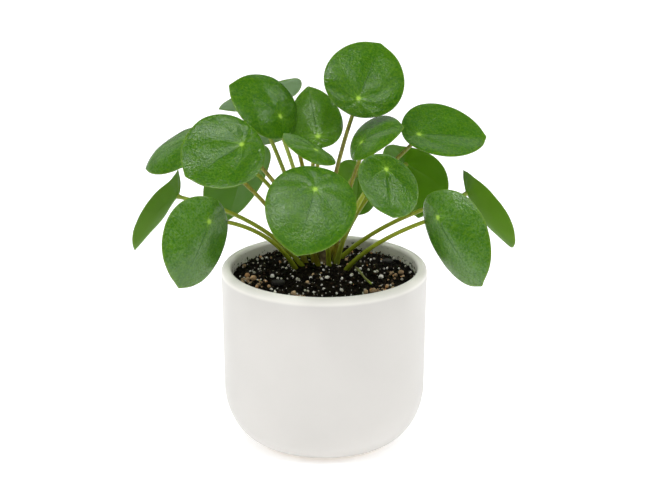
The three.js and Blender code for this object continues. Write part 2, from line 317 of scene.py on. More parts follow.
# The lip, from 111 mm up, and the wall inside are painted palest: painted light against the shade
# that the leaves and the wall cast there, over the glaze breaking paler at the lip.
painted_lip_light = ramp_node(tree, math_node(tree, "MULTIPLY", pot_z, 1 / (120 * mm)), (0.925, 0.0), (0.940, 1.0))
painted_light_mask = math_node(tree, "MAXIMUM", painted_lip_light, inside)
glaze_colour = mix_node(tree, painted_light_mask, glaze_colour, (0.82, 0.80, 0.75))
# Watering has left a stain and crumbs of soil on the inside wall above the soil line.
above_soil = math_node(tree, "SUBTRACT", pot_z, soil_edge_height * mm)
stain = ramp_node(tree, math_node(tree, "MULTIPLY", above_soil, 1 / (9 * mm)), (0.0, 1.0), (0.9, 0.0))
stain = math_node(tree, "MULTIPLY", stain, inside)
glaze_colour = tinted(tree, glaze_colour, stain, 0.35, (0.60, 0.59, 0.45))
crumb_noise = noise_node(tree, where, 420, 3, 0.6)
crumb_reach = math_node(tree, "ADD", crumb_noise, math_node(tree, "MULTIPLY", above_soil, -1 / (36 * mm)))
crumbs = ramp_node(tree, crumb_reach, (0.49, 0.0), (0.53, 1.0))
crumbs = math_node(tree, "MULTIPLY", crumbs, inside)
glaze_colour = mix_node(tree, crumbs, glaze_colour, (0.018, 0.013, 0.008))
# The wiped foot is bare clay.
bare = ramp_node(tree, math_node(tree, "MULTIPLY", pot_z, 1 / (2.2 * mm)), (0.55, 1.0), (0.95, 0.0))
tree.links.new(mix_node(tree, bare, glaze_colour, (0.62, 0.53, 0.42)), shader.inputs["Base Color"])
satin = ramp_node(tree, noise_node(tree, where, 90, 3), (0.3, 0.32), (0.7, 0.38))
tree.links.new(mix_node(tree, math_node(tree, "MAXIMUM", bare, crumbs), satin, (0.9, 0.9, 0.9)),
               shader.inputs["Roughness"])
ripple = bump_node(tree, noise_node(tree, where, 30, 1), 0.10 * mm, 0.4)
pores = bump_node(tree, noise_node(tree, where, 700, 2), 0.004 * mm, 0.4, ripple)
tree.links.new(pores, shader.inputs["Normal"])
shader.inputs["Specular IOR Level"].default_value = 0.45
print("glaze nodes:", len(tree.nodes))

# %% [markdown]
# ## The pot's shape
# A thrown or slip-cast pot is a body of revolution, so one profile is turned about the axis. It runs from
# the drain hole, under the foot, up the belly and the side, over the lip and down inside, with a round
# at every edge, because glaze never leaves a sharp one.

# %% The pot's profile, turned
rim_radius, side_radius, wall = 65.5, 64.1, 6.4
belly_top, foot_radius = 38, 35
outer_lip, inner_lip = 3.8, 2.6
floor_radius, floor_top, inner_belly_top = 33, 8.0, 42
drain_radius, foot_recess, drain_round = 7.5, 1.6, 0.8
lip_start = rim_top - outer_lip
side_steps = 8
# The foot ring is flat from 27.6 mm out to the foot radius, and the clay inside it is recessed.
pot_profile = (
    [(drain_radius, foot_recess + drain_round), (drain_radius + drain_round, foot_recess),
     (25.2, foot_recess), (26.6, 0.5), (27.6, 0.0)]
    + quarter_arc((foot_radius, belly_top), (side_radius - foot_radius, belly_top), -90, 0, 30)
    + [(side_radius + (rim_radius - side_radius) * i / side_steps,
        belly_top + (lip_start - belly_top) * i / side_steps) for i in range(1, side_steps)]
    + quarter_arc((rim_radius - outer_lip, lip_start), (outer_lip, outer_lip), 0, 90, 10)
    + quarter_arc((rim_radius - wall + inner_lip, rim_top - inner_lip), (inner_lip, inner_lip),
                  90, 180, 8)[1:]
    + [(59.0, 108.0), (58.3, 80.0), (57.7, 52.0)]
    + quarter_arc((floor_radius, inner_belly_top),
                  (side_radius - wall - floor_radius, inner_belly_top - floor_top), 0, -90, 16)
    + [(drain_radius + drain_round, floor_top), (drain_radius, floor_top - drain_round),
       (drain_radius, foot_recess + drain_round)]
)
bm = bmesh.new()
turned(bm, pot_profile, steps=160)
pot = finished(bm, "ceramic_pot", [pot_glaze], "glazed_pot", "pot")
print("pot faces:", len(pot.data.polygons))

# %% [markdown]
# ## The leaves, one row each
# Each row says where a petiole meets its blade (the spot), how long and wide the blade is, and where the
# middle of its oval lies from the spot, along and across the midrib. Then comes how it is turned: the
# compass direction of its tip, how far the tip drops below level, and its roll about the midrib. The
# dome lowers its edge, the fold lifts its two halves, and the lift raises the end nearer to the spot. The
# last numbers are where the petiole leaves the soil, how high its arc rises and how far it runs square to
# the blade. They are the numbers of the solids, in millimetres and degrees, so that each blade lies on
# its solid.

# %% The leaf table
Leaf = namedtuple("Leaf", "name spot length width middle heading drop roll dome fold lift root rise reach")
leaves = [
    Leaf("01", (21.5, 5, 225), 55, 51, (14, 1), 57, -47, 31, 3, 4, 0, (-2.5, 28.5), 30, 10),
    Leaf("02", (-27.5, 10, 212), 51, 47, (12, -1), 177, -37, -31, 7, 6, 0, (-7, 25), 30, 10),
    Leaf("03", (-51, -24, 203.5), 55, 57, (13.5, -2), -157, 27, -32, -2, 1, 0, (-3.6, 13.5), 25, 10),
    Leaf("04", (-5.5, -71, 189), 62, 55, (13, 0), -112, 48, -17, 3, 2, 0, (3, 13), 40, 10),
    Leaf("05", (-70, -56, 163.5), 62, 50, (14, 1.5), -131, 55, -80, 5, -6, 0, (-18.5, 10.5), 24, 10),
    Leaf("06", (-94.5, 16, 158), 62, 45, (-15.5, -0.5), 39, -43, -52, -3, 5, 8, (-14.5, 15.5), 22, 5),
    Leaf("07", (-87.5, 48, 186), 53, 40, (11, 0), 168, 30, -24, 5, 0, 0, (-12, 20.5), 25, 10),
    Leaf("08", (-52.5, 66, 164.5), 62, 56, (14.5, 0), 136, 69, 3, 1, 5, 0, (-12.5, 27), 25, 16),
    Leaf("09", (-29.5, 76, 215), 60, 50, (13.5, 0), 176, 21, 29, 2, -3, 0, (-3, 35), 25, 10),
    Leaf("10", (-4, 8, 199.5), 48, 34, (13.5, 0), 104, -44, -18, 0, -6, 0, (-6.5, 31), 25, 8),
    Leaf("11", (-5, -32, 202.5), 40, 33, (4, 0.5), 150, -24, 10, 2, -1, 0, (-6.5, 19.5), 25, 8),
    Leaf("12", (23, -4, 199), 40, 44, (8.5, 0.5), -8, -29, 16, 5, 5, 0, (6.5, 24), 25, 8),
    Leaf("13", (60, 18, 198), 58, 54, (16, 2), 10, 6, 22, 0, 4, 0, (2.5, 27.5), 25, 10),
    Leaf("14", (38, -52, 196), 48, 42, (13, 0), -85, 40, -25, -4, -2, 0, (8, 19), 25, 10),
    Leaf("15", (54.5, 64, 165), 56, 55, (12.5, 1), 30, 74, -19, 2, 10, 0, (8.5, 34.5), 25, 10),
    Leaf("16", (23, 74, 154.5), 40, 39, (9, 0), 123, 84, 78, 3, 1.5, 0, (3, 34), 15, 10),
    Leaf("17", (69, -56, 166), 69, 46, (16, -0.5), -45, 47, 85, 5, -7, 0, (14, 7), 14, 16),
    Leaf("18", (92, 16, 160), 62, 43, (-16.5, 0), 142, -43, 55, -6, 2, 3, (10.5, 29), 14, 10),
    Leaf("19", (-38, 30, 203), 44, 42, (10.5, 0), 100, 40, 0, 3, 0, 0, (-10, 34), 20, 8),
]
blade_thickness = 0.9


def leaf_turn(leaf):
    """Turns a blade from its own frame, tip along +X and upper side up, to the way it grows."""
    angles = (math.radians(leaf.roll), math.radians(leaf.drop), math.radians(leaf.heading))
    return Euler(angles, "XYZ").to_matrix()


print("leaves:", len(leaves))

# %% [markdown]
# ## The blades' shape
# A blade is a disc spun from one spoke of points, with the pale spot at its hub, so that the mesh runs
# the way the veins do. The same disc, turned over and set a little lower, is the underside, and a
# bridge between the two rims closes it. Each point is then moved to its place: out to the oval edge,
# up or down with the dome and fold, down a little where a vein sinks in and up where the flesh swells
# between two veins. Those swells are what break the gloss into patches. A flat card with a picture of a
# leaf would be quicker, but it has no thickness and mirrors the light all at once.

# %% One blade's outline and height
blade_point = 0.035           # how far the tip stands out of the oval, as a share of the length
point_width = 0.14            # how fast the point falls away round the edge, in radians
blade_taper = 0.1             # the half toward the tip is narrower, and the base wider, by this share
keel_softness = 0.02          # rounds the crease of a folded blade along its midrib
main_vein = math.radians(60)  # between the midrib and each side vein, at the spot
vein_bend = 0.35              # the side veins curve toward the tip by this share
vein_depth, vein_half_width = 0.20, 0.8
dimple_depth, dimple_radius = 0.5, 2.2
wave_height, broad_wave, fine_wave = 0.5, 16, 7
margin_roll = 0.6
rib_height, rib_half_width = 0.5, 1.3
thin_margin = 0.55            # the blade is thinner by this share at its margin
map_size = 100                # millimetres of blade across the whole of its UV map
# How far a blade swells between its veins, in millimetres, where it isn't the usual 1.
quilting = {"01": 1.6, "03": 1.2, "04": 1.5, "10": 2.6, "14": 0.4}
# How much painted sheen a blade has, in pale patches of painted reflection, and how young and yellow
# it is, where it isn't a usual one.
usual_sheen_and_youth = (0.15, 0)
sheen_and_youth = {
    "02": (0.1, 0), "03": (0.1, 0), "05": (0.6, 0), "06": (0.1, 0.4), "07": (0.5, 0), "08": (0.1, 0),
    "09": (0.9, 0), "10": (0.3, 0.3), "11": (0.15, 0.15), "12": (0.1, 0.1), "14": (0.1, 0), "15": (0, 0.15),
    "16": (0, 0.2), "17": (0.5, 0), "18": (0.05, 0.35), "19": (0.8, 0.1),
}


def blade_edge(leaf, angle):
    """A point of the edge, in a direction from the blade's middle: nearly round, with a small point."""
    along = math.cos(angle)
    point = blade_point * leaf.length
    from_tip = abs(math.atan2(math.sin(angle), along))
    tip = point * math.exp(-from_tip / point_width)
    x = leaf.middle[0] + (leaf.length / 2 - point) * along + tip
    y = leaf.middle[1] + leaf.width / 2 * math.sin(angle) * (1 - blade_taper * along)
    return x, y


def blade_bend(leaf, x, y):
    """The height that the solid has there, in millimetres: the dome, the fold and the lifted end."""
    middle_x, middle_y = leaf.middle
    half_length, half_width = leaf.length / 2, leaf.width / 2
    from_middle = math.hypot((x - middle_x) / half_length, (y - middle_y) / half_width)
    spot_from_middle = math.hypot(middle_x / half_length, middle_y / half_width)
    domed = -leaf.dome * (from_middle ** 2 - spot_from_middle ** 2)
    folded = leaf.fold * (math.sqrt((y / half_width) ** 2 + keel_softness) - math.sqrt(keel_softness))
    behind = max(0, math.copysign(1, middle_x) * -x / (half_length - abs(middle_x)))
    return domed + folded + leaf.lift * behind ** 2


def blade_relief(leaf, x, y, share, seed):
    """What the fine surface adds: swells, sunken veins, the dimple, a slow wave and a rolled margin."""
    reach, angle = math.hypot(x, y), abs(math.atan2(y, x))
    bent = angle * (1 + vein_bend * share)
    swell = math.sin(math.pi * bent / main_vein) ** 2
    height = quilting.get(leaf.name, 1.0) * swell * share ** 1.3 * (1 - share) ** 0.6
    for vein in (0, main_vein):
        aside = reach * abs(math.sin(min(abs(bent - vein), math.pi / 2)))
        groove = math.exp(-((aside / vein_half_width) ** 2))
        height -= vein_depth * groove * (1 - share) * min(1, reach / 3)
    height -= dimple_depth * math.exp(-((reach / dimple_radius) ** 2))
    broad = noise.noise(Vector((x / broad_wave, y / broad_wave, seed)))
    fine = noise.noise(Vector((x / fine_wave, y / fine_wave, seed + 9)))
    wave = broad + 0.5 * fine
    return height + wave_height * wave * min(1, reach / 8) - margin_roll * share ** 10


print("tip of leaf 01, in millimetres from its spot:", [round(c, 1) for c in blade_edge(leaves[0], 0)])
print("a blade swells between its veins by 1 mm, apart from leaves", ", ".join(quilting))

# %% One blade as a mesh
def blade_disc(steps=72, rings=15, last_ring=0.98, crowding=0.9):
    """Two flat discs, one above the other, joined round the rim; the lower one lies at z = -1."""
    bm = bmesh.new()
    spoke = [bm.verts.new((last_ring * (i / rings) ** crowding, 0, 0)) for i in range(rings + 1)]
    spoke.append(bm.verts.new((1, 0, 0)))
    edges = [bm.edges.new(pair) for pair in zip(spoke, spoke[1:])]
    bmesh.ops.spin(bm, geom=spoke + edges, cent=(0, 0, 0), axis=(0, 0, 1), angle=math.tau, steps=steps,
                   use_merge=True, use_duplicate=False)
    bmesh.ops.remove_doubles(bm, verts=bm.verts, dist=1e-6)
    bm.normal_update()
    if sum(face.normal.z for face in bm.faces) < 0:
        bmesh.ops.reverse_faces(bm, faces=bm.faces)
    copy = bmesh.ops.duplicate(bm, geom=bm.verts[:] + bm.edges[:] + bm.faces[:])["geom"]
    under = [part for part in copy if isinstance(part, bmesh.types.BMFace)]
    bmesh.ops.reverse_faces(bm, faces=under)
    for face in under:
        face.material_index = 1
    bmesh.ops.translate(bm, verts=[part for part in copy if isinstance(part, bmesh.types.BMVert)],
                        vec=(0, 0, -1))
    rims = [edge for edge in bm.edges if edge.is_boundary]
    bmesh.ops.bridge_loops(bm, edges=rims)
    return bm


def shaped_blade(leaf, seed):
    """The disc drawn out to this leaf's outline and moved to its place on the plant."""
    bm = blade_disc()
    margin = bm.verts.layers.float.new("margin")
    # Each point keeps its blade's painted sheen, a share of painted reflection, and its youth.
    painted_sheen, youth = bm.verts.layers.float.new("painted_sheen"), bm.verts.layers.float.new("youth")
    flat_map = bm.loops.layers.uv.new("blade_map")
    flat = {}
    for point in bm.verts:
        share = min(1, math.hypot(point.co.x, point.co.y))
        angle = math.atan2(point.co.y, point.co.x)
        edge_x, edge_y = blade_edge(leaf, angle)
        x, y = edge_x * share, edge_y * share
        height = blade_bend(leaf, x, y) + blade_relief(leaf, x, y, share, seed)
        if point.co.z < -0.5:
            height -= blade_thickness * (1 - thin_margin * share ** 4)
            rib = abs(y) if x > 0 else math.hypot(x, y)
            height -= rib_height * math.exp(-((rib / rib_half_width) ** 2)) * (1 - share)
        point[margin] = share
        point[painted_sheen], point[youth] = sheen_and_youth.get(leaf.name, usual_sheen_and_youth)
        flat[point] = (x, y)
        point.co = Vector((x, y, height))
    for face in bm.faces:
        for loop in face.loops:
            x, y = flat[loop.vert]
            loop[flat_map].uv = (x / map_size + 0.5, y / map_size + 0.5)
    placed = Matrix.Translation(Vector(leaf.spot) * mm) @ leaf_turn(leaf).to_4x4() @ Matrix.Scale(mm, 4)
    bmesh.ops.transform(bm, matrix=placed, verts=bm.verts)
    return bm


print("helpers for one blade: blade_disc and shaped_blade")

# %% [markdown]
# ## The veins
# A midrib and two side veins run from the spot toward the tip, and fainter ones run back. They could be
# drawn as a picture, but lines worked out from the distance and direction to the spot stay sharp at any
# size and fit every blade. A UV map that holds plain millimetres tells the shader where the spot is.

# %% Vein pattern shared by both sides
# Each vein's turn from the midrib, in radians, and its strength. The last two run back from the spot.
vein_turns = ((0.0, 1.0), (main_vein, 0.8), (1.75, 0.45), (2.6, 0.4))


def vein_lines(tree, width):
    """Returns the pale veins, the midrib's painted crease shade, the millimetres from the spot and the share
    out.
    """
    uv = tree.nodes.new("ShaderNodeUVMap")
    uv.uv_map = "blade_map"
    u, v, _ = split_node(tree, uv.outputs["UV"])
    x = math_node(tree, "MULTIPLY", math_node(tree, "SUBTRACT", u, 0.5), map_size)
    y = math_node(tree, "MULTIPLY", math_node(tree, "SUBTRACT", v, 0.5), map_size)
    reach = math_node(tree, "SQRT", math_node(tree, "ADD", math_node(tree, "MULTIPLY", x, x),
                                              math_node(tree, "MULTIPLY", y, y)))
    angle = math_node(tree, "ABSOLUTE", math_node(tree, "ARCTAN2", y, x))
    share = number_of(tree, "margin")
    bent = math_node(tree, "MULTIPLY", angle, math_node(tree, "MULTIPLY_ADD", share, vein_bend, 1.0))
    lines = None
    for vein, weight in vein_turns:
        off_vein = math_node(tree, "ABSOLUTE", math_node(tree, "SUBTRACT", bent, vein))
        aside = math_node(tree, "MULTIPLY", off_vein, reach)
        line = math_node(tree, "SUBTRACT", 1.0, math_node(tree, "DIVIDE", aside, width), clamp=True)
        line = math_node(tree, "MULTIPLY", line, weight)
        lines = line if lines is None else math_node(tree, "MAXIMUM", lines, line)
    fade = math_node(tree, "SUBTRACT", 1.0, share, clamp=True)
    # The midrib's own crease is painted shade, a hair-thin dark line on the tip's side of the spot.
    off_midrib = math_node(tree, "DIVIDE", math_node(tree, "ABSOLUTE", y), 1.1 * width)
    painted_crease_shade = math_node(tree, "SUBTRACT", 1.0, off_midrib, clamp=True)
    painted_crease_shade = math_node(tree, "MULTIPLY", painted_crease_shade, math_node(tree, "GREATER_THAN", x, 2.5))
    painted_crease_shade = math_node(tree, "MULTIPLY", painted_crease_shade, math_node(tree, "MULTIPLY", fade, 1.6, clamp=True))
    return math_node(tree, "MULTIPLY", lines, fade), painted_crease_shade, reach, share


print("veins, in degrees from the midrib:", [round(math.degrees(turn)) for turn, _ in vein_turns])

# %% [markdown]
# ## The upper side
# The upper side is a deep green with a thin wax over it. Close to, it is finely pebbled and wrinkled,
# which turns each mirrored light into a patch of small bright grains. Some blades carry a painted sheen,
# pale grey-green patches that paint in the reflection of the lights, and young ones are yellower, so both
# are numbers on the blade's own points. The spot is pale yellow-green, and the margin is a thin
# yellow-green line. Bump alone would be lost at this size, so the grains are painted into the colour too,
# as painted highlights, and the wrinkles and the midrib's crease as painted shade. A blade is thin enough
# for light to come through, so a share of a translucent shader is mixed in.

# %% Upper side
leaf_upper, tree, shader = finish_named("leaf_upper_side")
where = place_of(tree)
veins, painted_crease_shade, reach, share = vein_lines(tree, 0.5)
green = ramp_node(tree, noise_node(tree, where, 55, 3, 0.55), (0.3, (0.012, 0.068, 0.0005)),
                  (0.7, (0.028, 0.108, 0.0007)))
mottle = ramp_node(tree, noise_node(tree, where, 480, 2), (0.35, 0.0), (0.75, 1.0))
green = tinted(tree, green, mottle, 0.2, (0.065, 0.19, 0.003))
green = mix_node(tree, number_of(tree, "youth"), green, (0.110, 0.230, 0.0015))
# Painted highlights: light-green grains stand in for the pebbles catching the light.
grain = ramp_node(tree, noise_node(tree, where, 760, 3, 0.7, 0.6), (0.43, 0.0), (0.56, 1.0))
green = tinted(tree, green, grain, 0.80, (0.095, 0.212, 0.003))
# Painted shade: the wrinkles are painted darker, as shade falls in them.
painted_wrinkle_shade = ramp_node(tree, noise_node(tree, where, 260, 2, 0.6, 2.0), (0.42, 1.0), (0.56, 0.0))
green = tinted(tree, green, painted_wrinkle_shade, 0.35, (0.010, 0.062, 0.0006))
# Painted sheen: pale grey-green patches between the veins, broken by fine noise, stand for reflection.
patches = ramp_node(tree, noise_node(tree, where, 40, 3, 0.6, 0.6), (0.38, 0.25), (0.66, 1.0))
sheen_breakup = ramp_node(tree, noise_node(tree, where, 700, 3, 0.7), (0.40, 0.1), (0.58, 1.0))
sheen_mask = math_node(tree, "MULTIPLY", math_node(tree, "MULTIPLY", patches, sheen_breakup), number_of(tree, "painted_sheen"))
green = mix_node(tree, sheen_mask, green, (0.190, 0.320, 0.115))
green = tinted(tree, green, veins, 0.3, (0.12, 0.32, 0.03))
# Painted shade: the midrib's crease is painted as a dark line.
green = tinted(tree, green, painted_crease_shade, 0.9, (0.006, 0.036, 0.001))
rim_line = ramp_node(tree, share, (0.975, 0.0), (0.995, 1.0))
green = tinted(tree, green, rim_line, 0.7, (0.15, 0.25, 0.02))
halo = ramp_node(tree, math_node(tree, "MULTIPLY", reach, 1 / 7), (0.1, 1.0), (0.9, 0.0))
rays = math_node(tree, "ADD", math_node(tree, "MULTIPLY", veins, 0.6), 0.12)
rays = math_node(tree, "MULTIPLY", halo, rays)
green = mix_node(tree, rays, green, (0.30, 0.60, 0.04))
spot = ramp_node(tree, math_node(tree, "MULTIPLY", reach, 1 / 3), (0.22, 1.0), (0.7, 0.0))
green = tinted(tree, green, spot, 0.85, (0.44, 0.70, 0.07))
tree.links.new(green, shader.inputs["Base Color"])
tree.links.new(ramp_node(tree, noise_node(tree, where, 130, 2), (0.3, 0.19), (0.7, 0.25)),
               shader.inputs["Roughness"])
grooves = bump_node(tree, veins, 0.25 * mm, 0.7)
crinkled = bump_node(tree, noise_node(tree, where, 210, 3, 0.6, 0.8), 0.30 * mm, 0.6, grooves)
pebbled = bump_node(tree, noise_node(tree, where, 700, 2, 0.6), 0.38 * mm, 0.9, crinkled)
tree.links.new(pebbled, shader.inputs["Normal"])
shader.inputs["Specular IOR Level"].default_value = 0.6


def let_light_through(tree, shader, colour, share):
    """Mixes a translucent shader under the Principled one, as in any thin leaf."""
    through = tree.nodes.new("ShaderNodeBsdfTranslucent")
    through.inputs["Color"].default_value = (*colour, 1)
    both = tree.nodes.new("ShaderNodeMixShader")
    both.inputs["Fac"].default_value = share
    tree.links.new(shader.outputs["BSDF"], both.inputs[1])
    tree.links.new(through.outputs["BSDF"], both.inputs[2])
    tree.links.new(both.outputs["Shader"], tree.nodes["Material Output"].inputs["Surface"])


let_light_through(tree, shader, (0.22, 0.60, 0.004), share=0.20)
print("upper side nodes:", len(tree.nodes))

# %% [markdown]
# ## The underside
# The underside is paler and nearly matt, with the veins standing out as ribs. It could share the upper
# side's finish, but then a leaf seen from below would shine like one seen from above, so it has a
# finish of its own and more light comes through it.

# %% Underside
leaf_under, tree, shader = finish_named("leaf_underside")
where = place_of(tree)
veins, _, _, share = vein_lines(tree, 1.1)
green = ramp_node(tree, noise_node(tree, where, 60, 3), (0.3, (0.085, 0.215, 0.0012)),
                  (0.7, (0.105, 0.260, 0.0025)))
green = mix_node(tree, number_of(tree, "youth"), green, (0.190, 0.300, 0.008))
# Painted reflection: a blade's painted sheen also makes its underside a paler grey-green.
green = mix_node(tree, number_of(tree, "painted_sheen"), green, (0.290, 0.420, 0.230))
green = tinted(tree, green, veins, 0.4, (0.20, 0.36, 0.06))
rim_line = ramp_node(tree, share, (0.955, 0.0), (0.99, 1.0))
green = tinted(tree, green, rim_line, 0.7, (0.20, 0.30, 0.04))
tree.links.new(green, shader.inputs["Base Color"])
tree.links.new(ramp_node(tree, noise_node(tree, where, 200, 2), (0.3, 0.46), (0.7, 0.56)),
               shader.inputs["Roughness"])
ribs = bump_node(tree, veins, 0.35 * mm, 0.8)
tree.links.new(bump_node(tree, noise_node(tree, where, 900, 2), 0.05 * mm, 0.5, ribs),
               shader.inputs["Normal"])
shader.inputs["Specular IOR Level"].default_value = 0.2
let_light_through(tree, shader, (0.36, 0.70, 0.006), share=0.40)
print("underside nodes:", len(tree.nodes))

# %% [markdown]
# ## The nineteen blades
# One disc is shaped nineteen times, each time with its own row of the table and its own seed, so no two
# blades wave alike. Copies of one mesh would be lighter, but every leaf has its own outline.

# %% Make the nineteen blades
for number, leaf in enumerate(leaves):
    blade = finished(shaped_blade(leaf, seed=3.7 * number), "blade_" + leaf.name,
                     [leaf_upper, leaf_under], "leaf_blade", "leaf_" + leaf.name, rounding=1)
print("faces in one blade:", len(blade.data.polygons))

# %% [markdown]
# ## The petioles' finish
# A petiole's colour runs from dark green at the soil, through olive with red-brown freckles, to
# yellow-green under the blade. Older ones have more freckles. One finish with three settings makes the
# green, the brown and the pale ones, and a number on each point says how far along the stalk it is.

# %% Petiole finish
def petiole_finish(name, young, old, freckles):
    """young and old are the colours of the fresh skin and its freckles; freckles is how many it has."""
    finish, tree, shader = finish_named(name)
    where = place_of(tree)
    along = number_of(tree, "along")
    skin = ramp_node(tree, along, (0.0, tuple(0.55 * c for c in young)), (0.18, young),
                     (0.8, young), (1.0, (0.30, 0.40, 0.05)))
    stretched = tree.nodes.new("ShaderNodeMapping")
    stretched.inputs["Scale"].default_value = (1, 1, 0.3)
    plug(tree, where, stretched.inputs["Vector"])
    grain = noise_node(tree, stretched.outputs["Vector"], 700, 3, 0.6)
    marks = ramp_node(tree, grain, (0.62 - 0.25 * freckles, 0.0), (0.72 - 0.2 * freckles, 1.0))
    skin = tinted(tree, skin, marks, 0.8 * freckles, old)
    tree.links.new(skin, shader.inputs["Base Color"])
    tree.links.new(ramp_node(tree, grain, (0.3, 0.36), (0.7, 0.5)), shader.inputs["Roughness"])
    tree.links.new(bump_node(tree, grain, 0.12 * mm, 0.6), shader.inputs["Normal"])
    let_light_through(tree, shader, (0.45, 0.55, 0.08), share=0.1)
    return finish


green_petiole = petiole_finish("petiole_green", (0.27, 0.33, 0.015), (0.13, 0.12, 0.01), freckles=0.4)
brown_petiole = petiole_finish("petiole_brown", (0.28, 0.28, 0.018), (0.11, 0.060, 0.008), freckles=0.68)
pale_petiole = petiole_finish("petiole_pale", (0.34, 0.42, 0.04), (0.20, 0.20, 0.02), freckles=0.3)
petiole_looks = dict.fromkeys(("01", "03", "07", "09", "10", "11", "12", "13"), brown_petiole)
petiole_looks.update(dict.fromkeys(("02", "14"), pale_petiole))
print("petioles that aren't plain green:", ", ".join(sorted(petiole_looks)))

# %% [markdown]
# ## The petioles' shape
# A petiole is thickest at its collar, thins along its arc and widens again where it becomes the pale
# spot. A curve with a round bevel could make it, but here a ring of points is extruded and carried along
# the arc, turning as little as possible from step to step, so that it doesn't twist, and each point can
# keep how far along it is.

# %% Petiole shape
petiole_radius = 1.5
stout_leaf, stoutness = "14", 1.15     # one petiole is thicker than the others
crown_place = (0, 20)
soil_mound, mound_spread = 4.2, 30
root_depth = 5
sunk_in_blade = 0.8            # how far into the blade it ends, as a share of the blade's thickness
first_bend = 0.35              # the arc's first handle lies this far along the straight way to the blade
foot_girth, taper = 1.02, 0.14
collar_swell, collar_length = 0.28, 0.10
flare_swell, flare_length = 0.45, 0.018


def soil_height(x, y):
    """The soil is heaped a little round the crown."""
    away = (x - crown_place[0]) ** 2 + (y - crown_place[1]) ** 2
    return soil_edge_height + soil_mound * math.exp(-away / (2 * mound_spread ** 2))


def petiole_route(leaf, steps=26):
    """Points from under the soil to the underside of the blade, in millimetres."""
    square = leaf_turn(leaf) @ upward
    top = Vector(leaf.spot) - square * (sunk_in_blade * blade_thickness)
    x, y = leaf.root
    collar = Vector((x, y, soil_height(x, y)))
    first = collar.lerp(top, first_bend) + upward * leaf.rise
    last = top - square * leaf.reach
    outward = (first - collar).normalized()
    return [collar - outward * root_depth] + interpolate_bezier(collar, first, last, top, steps)


def petiole_girth(share):
    """How thick it is at a share of its length: a collar, a slow taper and the flare under the blade."""
    collar = collar_swell * math.exp(-((share / collar_length) ** 2))
    flare = flare_swell * math.exp(-(((1 - share) / flare_length) ** 2))
    return foot_girth - taper * share + collar + flare


def stalk(route, girth, sides=10):
    """A ring of points carried along the route, in millimetres; closed at both ends."""
    bm = bmesh.new()
    along = bm.verts.layers.float.new("along")
    lengths = [0.0]
    for a, b in zip(route, route[1:]):
        lengths.append(lengths[-1] + (b - a).length)
    heading = (route[1] - route[0]).normalized()
    turn = heading.to_track_quat("Z", "Y")
    ring = bmesh.ops.create_circle(bm, segments=sides, radius=1)["verts"]
    placed = Matrix.Identity(4)
    for i, point in enumerate(route):
        if i:
            ends = [edge for edge in bm.edges if all(v in ring for v in edge.verts)]
            grown = bmesh.ops.extrude_edge_only(bm, edges=ends)["geom"]
            ring = [part for part in grown if isinstance(part, bmesh.types.BMVert)]
        after = route[min(i + 1, len(route) - 1)] - route[max(i - 1, 0)]
        turn = heading.rotation_difference(after) @ turn
        heading = after.normalized()
        size = girth(lengths[i] / lengths[-1])
        target = Matrix.Translation(point) @ turn.to_matrix().to_4x4() @ Matrix.Scale(size, 4)
        bmesh.ops.transform(bm, matrix=target @ placed.inverted(), verts=ring)
        placed = target
        for vert in ring:
            vert[along] = lengths[i] / lengths[-1]
    bmesh.ops.holes_fill(bm, edges=[edge for edge in bm.edges if edge.is_boundary])
    bmesh.ops.recalc_face_normals(bm, faces=bm.faces)
    bmesh.ops.scale(bm, vec=(mm, mm, mm), verts=bm.verts)
    return bm


for leaf in leaves:
    thickness = petiole_radius * (stoutness if leaf.name == stout_leaf else 1.0)
    bm = stalk(petiole_route(leaf), lambda share: thickness * petiole_girth(share))
    petiole = finished(bm, "stalk_" + leaf.name, [petiole_looks.get(leaf.name, green_petiole)], "petiole",
                       "petiole_" + leaf.name, rounding=1)
print("faces in one petiole:", len(petiole.data.polygons))

# %% [markdown]
# ## The soil's finishes
# Potting mix is damp dark peat with white perlite and a little tan gravel. Damp peat is almost black and
# mirrors very little, so its highlight is turned down. Each kind of lump has one finish, and a number on
# its points picks its tone between three colours, so that neighbours rarely match.

# %% Soil finishes
soil_finish, tree, shader = finish_named("damp_potting_mix")
where = place_of(tree)
peat = noise_node(tree, where, 520, 4, 0.65)
tree.links.new(ramp_node(tree, peat, (0.3, (0.0015, 0.001, 0.0007)), (0.6, (0.005, 0.0036, 0.002)),
                         (0.8, (0.022, 0.015, 0.008))), shader.inputs["Base Color"])
tree.links.new(ramp_node(tree, noise_node(tree, where, 160, 2), (0.35, 0.55), (0.65, 0.95)),
               shader.inputs["Roughness"])
tree.links.new(bump_node(tree, peat, 0.8 * mm, 0.9), shader.inputs["Normal"])
shader.inputs["Specular IOR Level"].default_value = 0.1


def lump_finish(name, dark, light, third, roughness, relief):
    """A finish for lumps and chips: the tone on their points picks a place between three colours."""
    finish, tree, shader = finish_named(name)
    where = place_of(tree)
    tone = ramp_node(tree, number_of(tree, "tone"), (0.0, dark), (0.6, light), (1.0, third))
    grain = noise_node(tree, where, 1500, 3, 0.6)
    shade = ramp_node(tree, grain, (0.3, 0.55), (0.6, 1.0))
    tree.links.new(mix_node(tree, 1.0, tone, shade, "MULTIPLY"), shader.inputs["Base Color"])
    shader.inputs["Roughness"].default_value = roughness
    shader.inputs["Specular IOR Level"].default_value = 0.3
    tree.links.new(bump_node(tree, grain, relief * mm, 0.8), shader.inputs["Normal"])
    return finish


